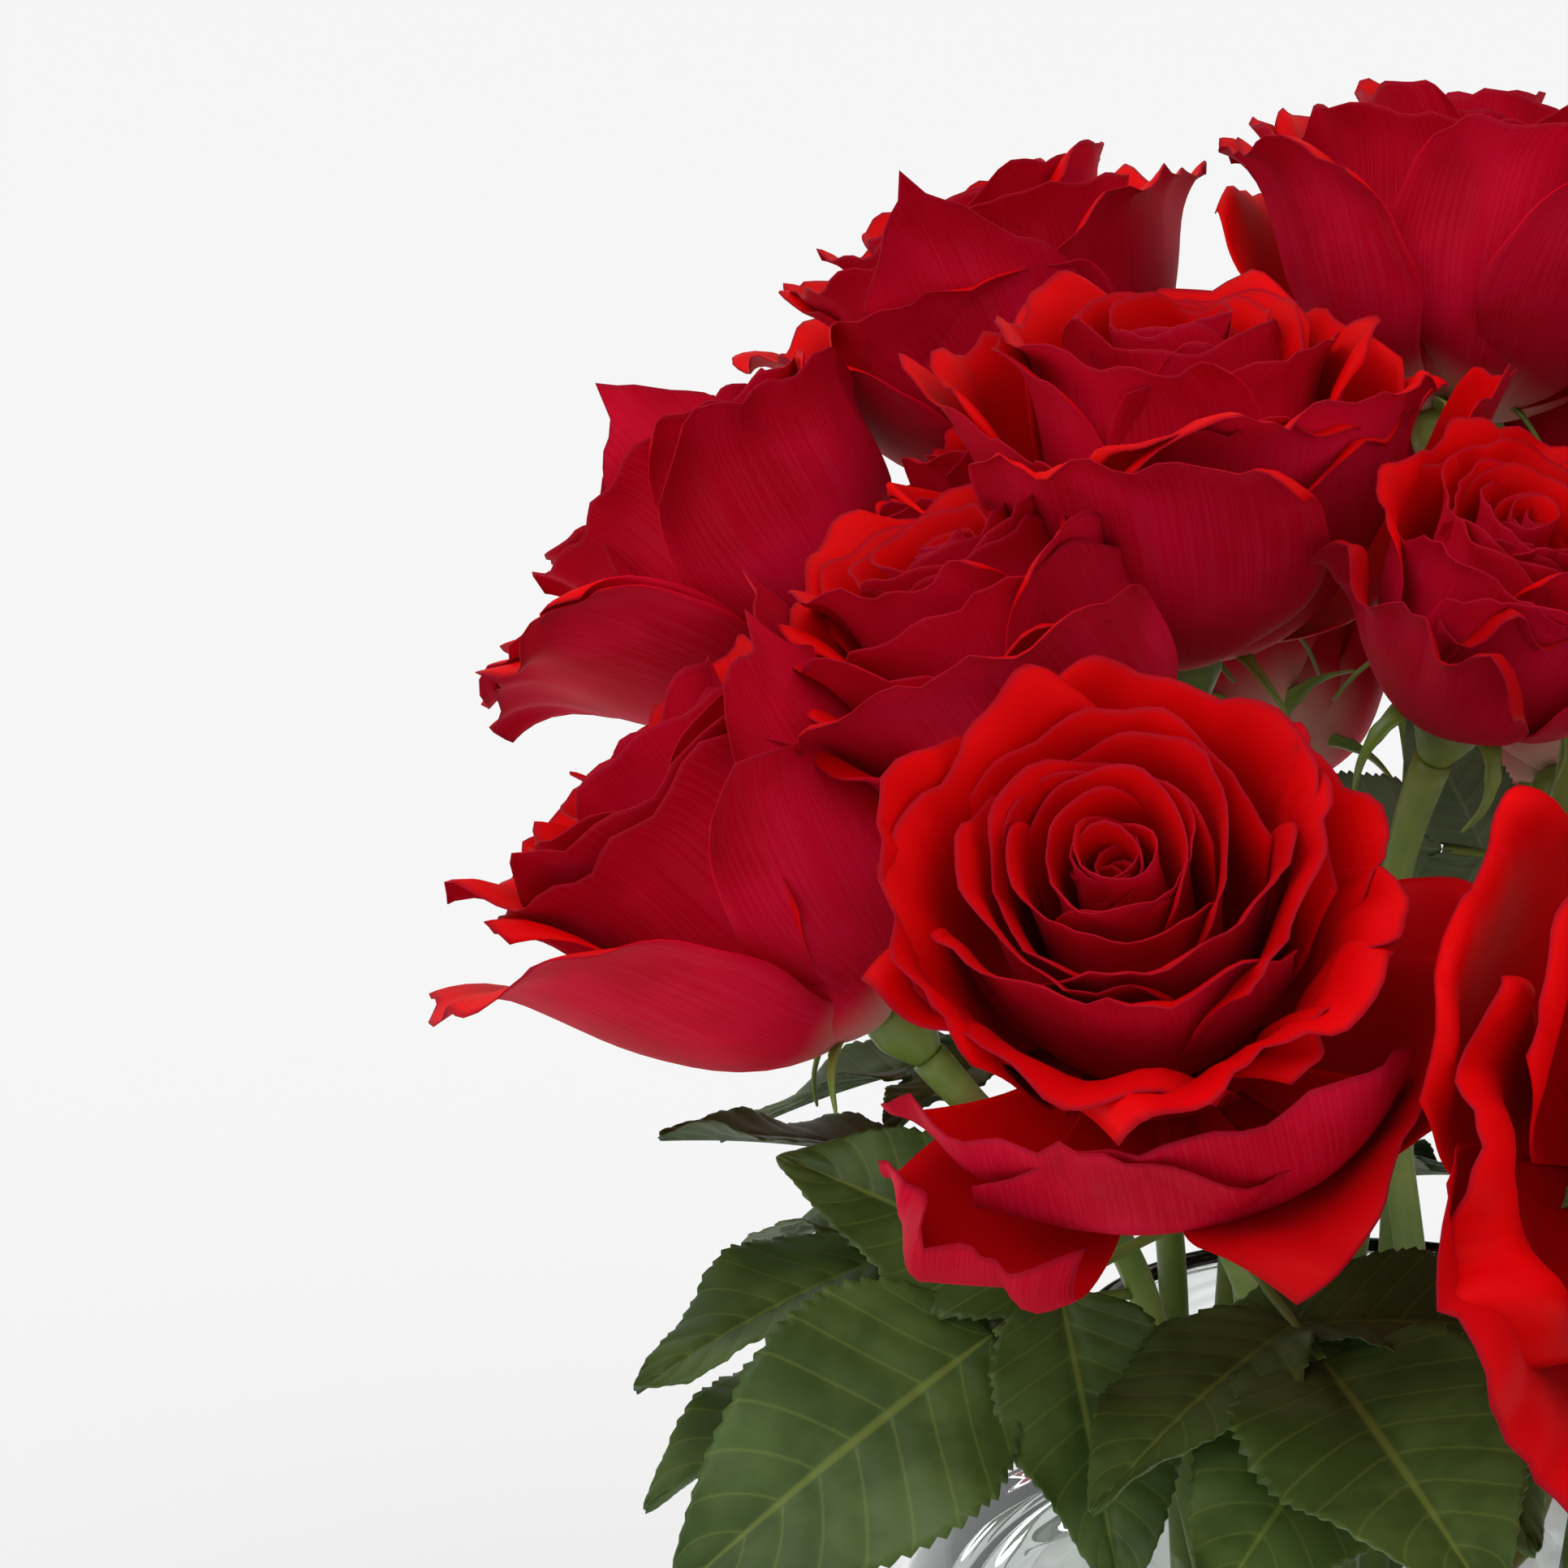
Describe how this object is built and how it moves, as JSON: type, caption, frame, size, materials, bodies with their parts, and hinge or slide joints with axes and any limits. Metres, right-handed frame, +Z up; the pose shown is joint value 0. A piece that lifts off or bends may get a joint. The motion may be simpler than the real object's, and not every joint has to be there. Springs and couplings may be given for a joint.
{
  "type": "roses in a vase",
  "caption": "Dome of red roses on leafy green stems, standing in a spiral in a round clear glass bowl vase of water.",
  "frame": {"origin": "centre of the vase's flat base, where it stands", "axes": "+Z up, -Y the front, +X to the right seen from the front"},
  "size_m": [0.3327, 0.336, 0.409],
  "materials": {
    "petals": "satin",
    "stems": "satin",
    "leaves": "satin",
    "glass": "polished",
    "water": "clear"
  },
  "bodies": {
    "root": {"bloom_back_left": "petals", "bloom_back_right": "petals", "bloom_crown_left": "petals", "bloom_front": "petals", "bloom_front_right": "petals", "bloom_inner_left": "petals", "bloom_left": "petals", "bloom_left_back": "petals", "bloom_low_back_left": "petals", "bloom_right": "petals", "bloom_right_front": "petals", "bloom_top": "petals", "bloom_top_left": "petals", "bloom_upper_back": "petals", "bloom_upper_back_left": "petals", "bloom_upper_back_right": "petals", "bloom_upper_front": "petals", "bloom_upper_right": "petals", "bloom_upper_side": "petals", "leaf_back": "leaves", "leaf_back_left": "leaves", "leaf_back_right": "leaves", "leaf_front": "leaves", "leaf_front_low": "leaves", "leaf_left_back": "leaves", "leaf_left_behind": "leaves", "leaf_left_upper": "leaves", "leaf_low_left": "leaves", "leaf_neck_back": "leaves", "leaf_neck_front": "leaves", "leaf_neck_gap": "leaves", "leaf_neck_right": "leaves", "leaf_right": "leaves", "leaf_right_back": "leaves", "leaf_right_front": "leaves", "leaf_right_low": "leaves", "leaf_under_front": "leaves", "stem_back_left": "stems", "stem_back_right": "stems", "stem_crown_left": "stems", "stem_front": "stems", "stem_front_right": "stems", "stem_inner_left": "stems", "stem_left": "stems", "stem_left_back": "stems", "stem_low_back_left": "stems", "stem_right": "stems", "stem_right_front": "stems", "stem_top": "stems", "stem_top_left": "stems", "stem_upper_back": "stems", "stem_upper_back_left": "stems", "stem_upper_back_right": "stems", "stem_upper_front": "stems", "stem_upper_right": "stems", "stem_upper_side": "stems", "vase": "glass", "water": "water"}
  },
  "joints": []
}
